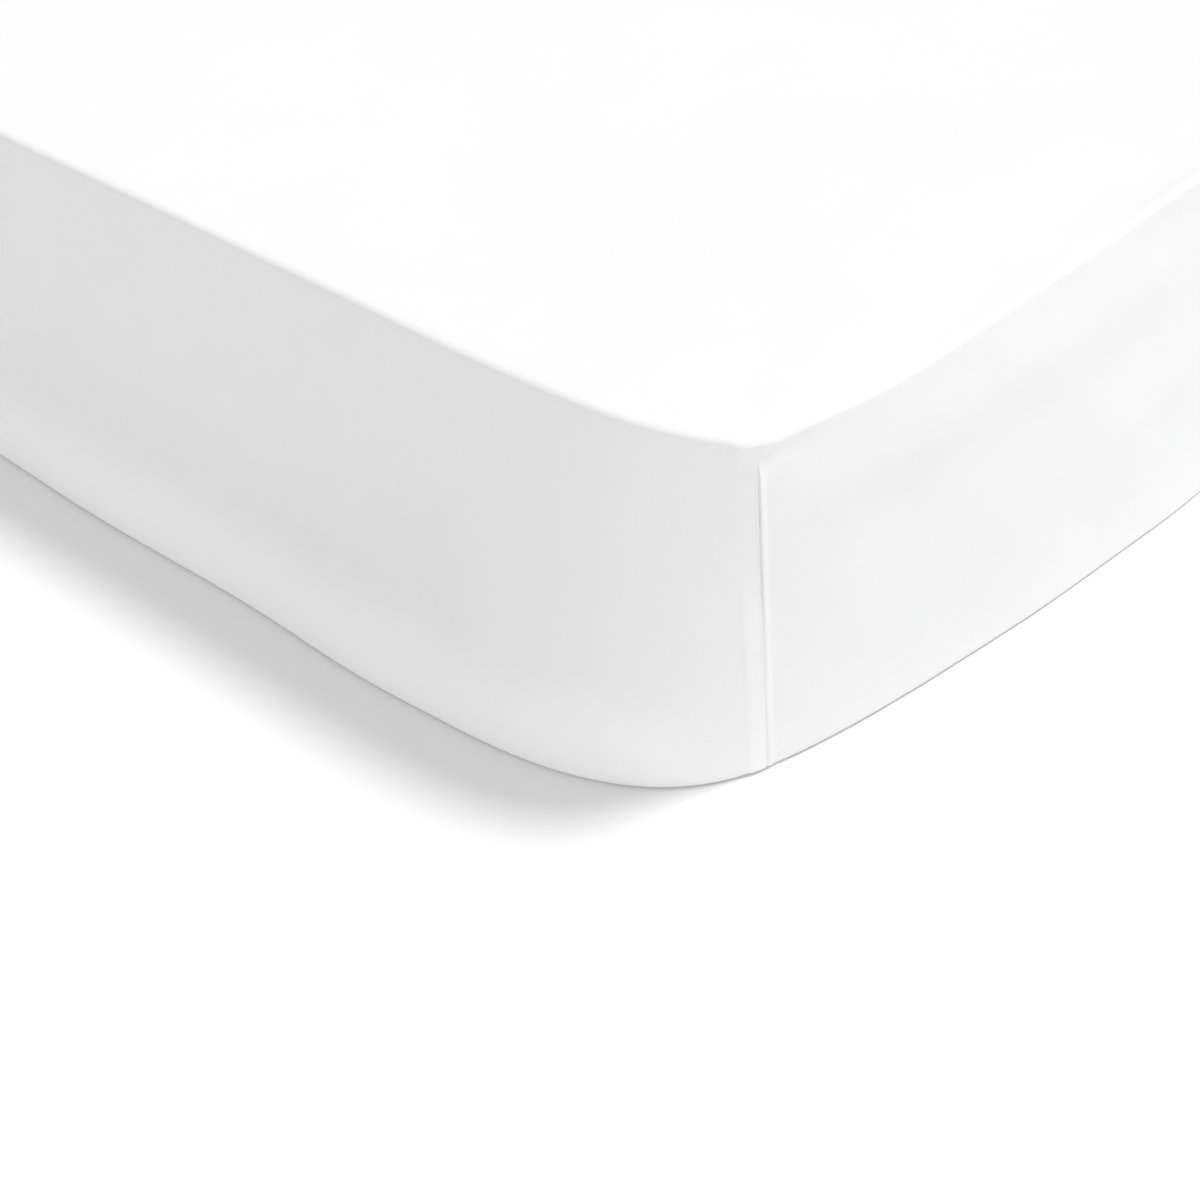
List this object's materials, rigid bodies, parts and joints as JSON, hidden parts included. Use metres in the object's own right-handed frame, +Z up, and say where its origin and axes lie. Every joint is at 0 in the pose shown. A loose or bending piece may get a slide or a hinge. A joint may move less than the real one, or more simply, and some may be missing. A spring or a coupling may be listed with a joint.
{
  "type": "fitted sheet on a mattress",
  "caption": "White cotton fitted sheet pulled over a plain single mattress, with sewn corners and its hem tucked under.",
  "frame": {"origin": "on the floor, under the middle of the bed", "axes": "+X across the bed, +Y along it, +Z up; the corner nearest the viewer of the picture is at +X, -Y"},
  "size_m": [0.9189, 2.0095, 0.261],
  "materials": {
    "white_cotton": "smooth plain weave, matt",
    "mattress_ticking": "plain woven ticking, matt"
  },
  "bodies": {
    "root": {"fitted_sheet": "white_cotton", "mattress": "mattress_ticking"}
  },
  "joints": []
}
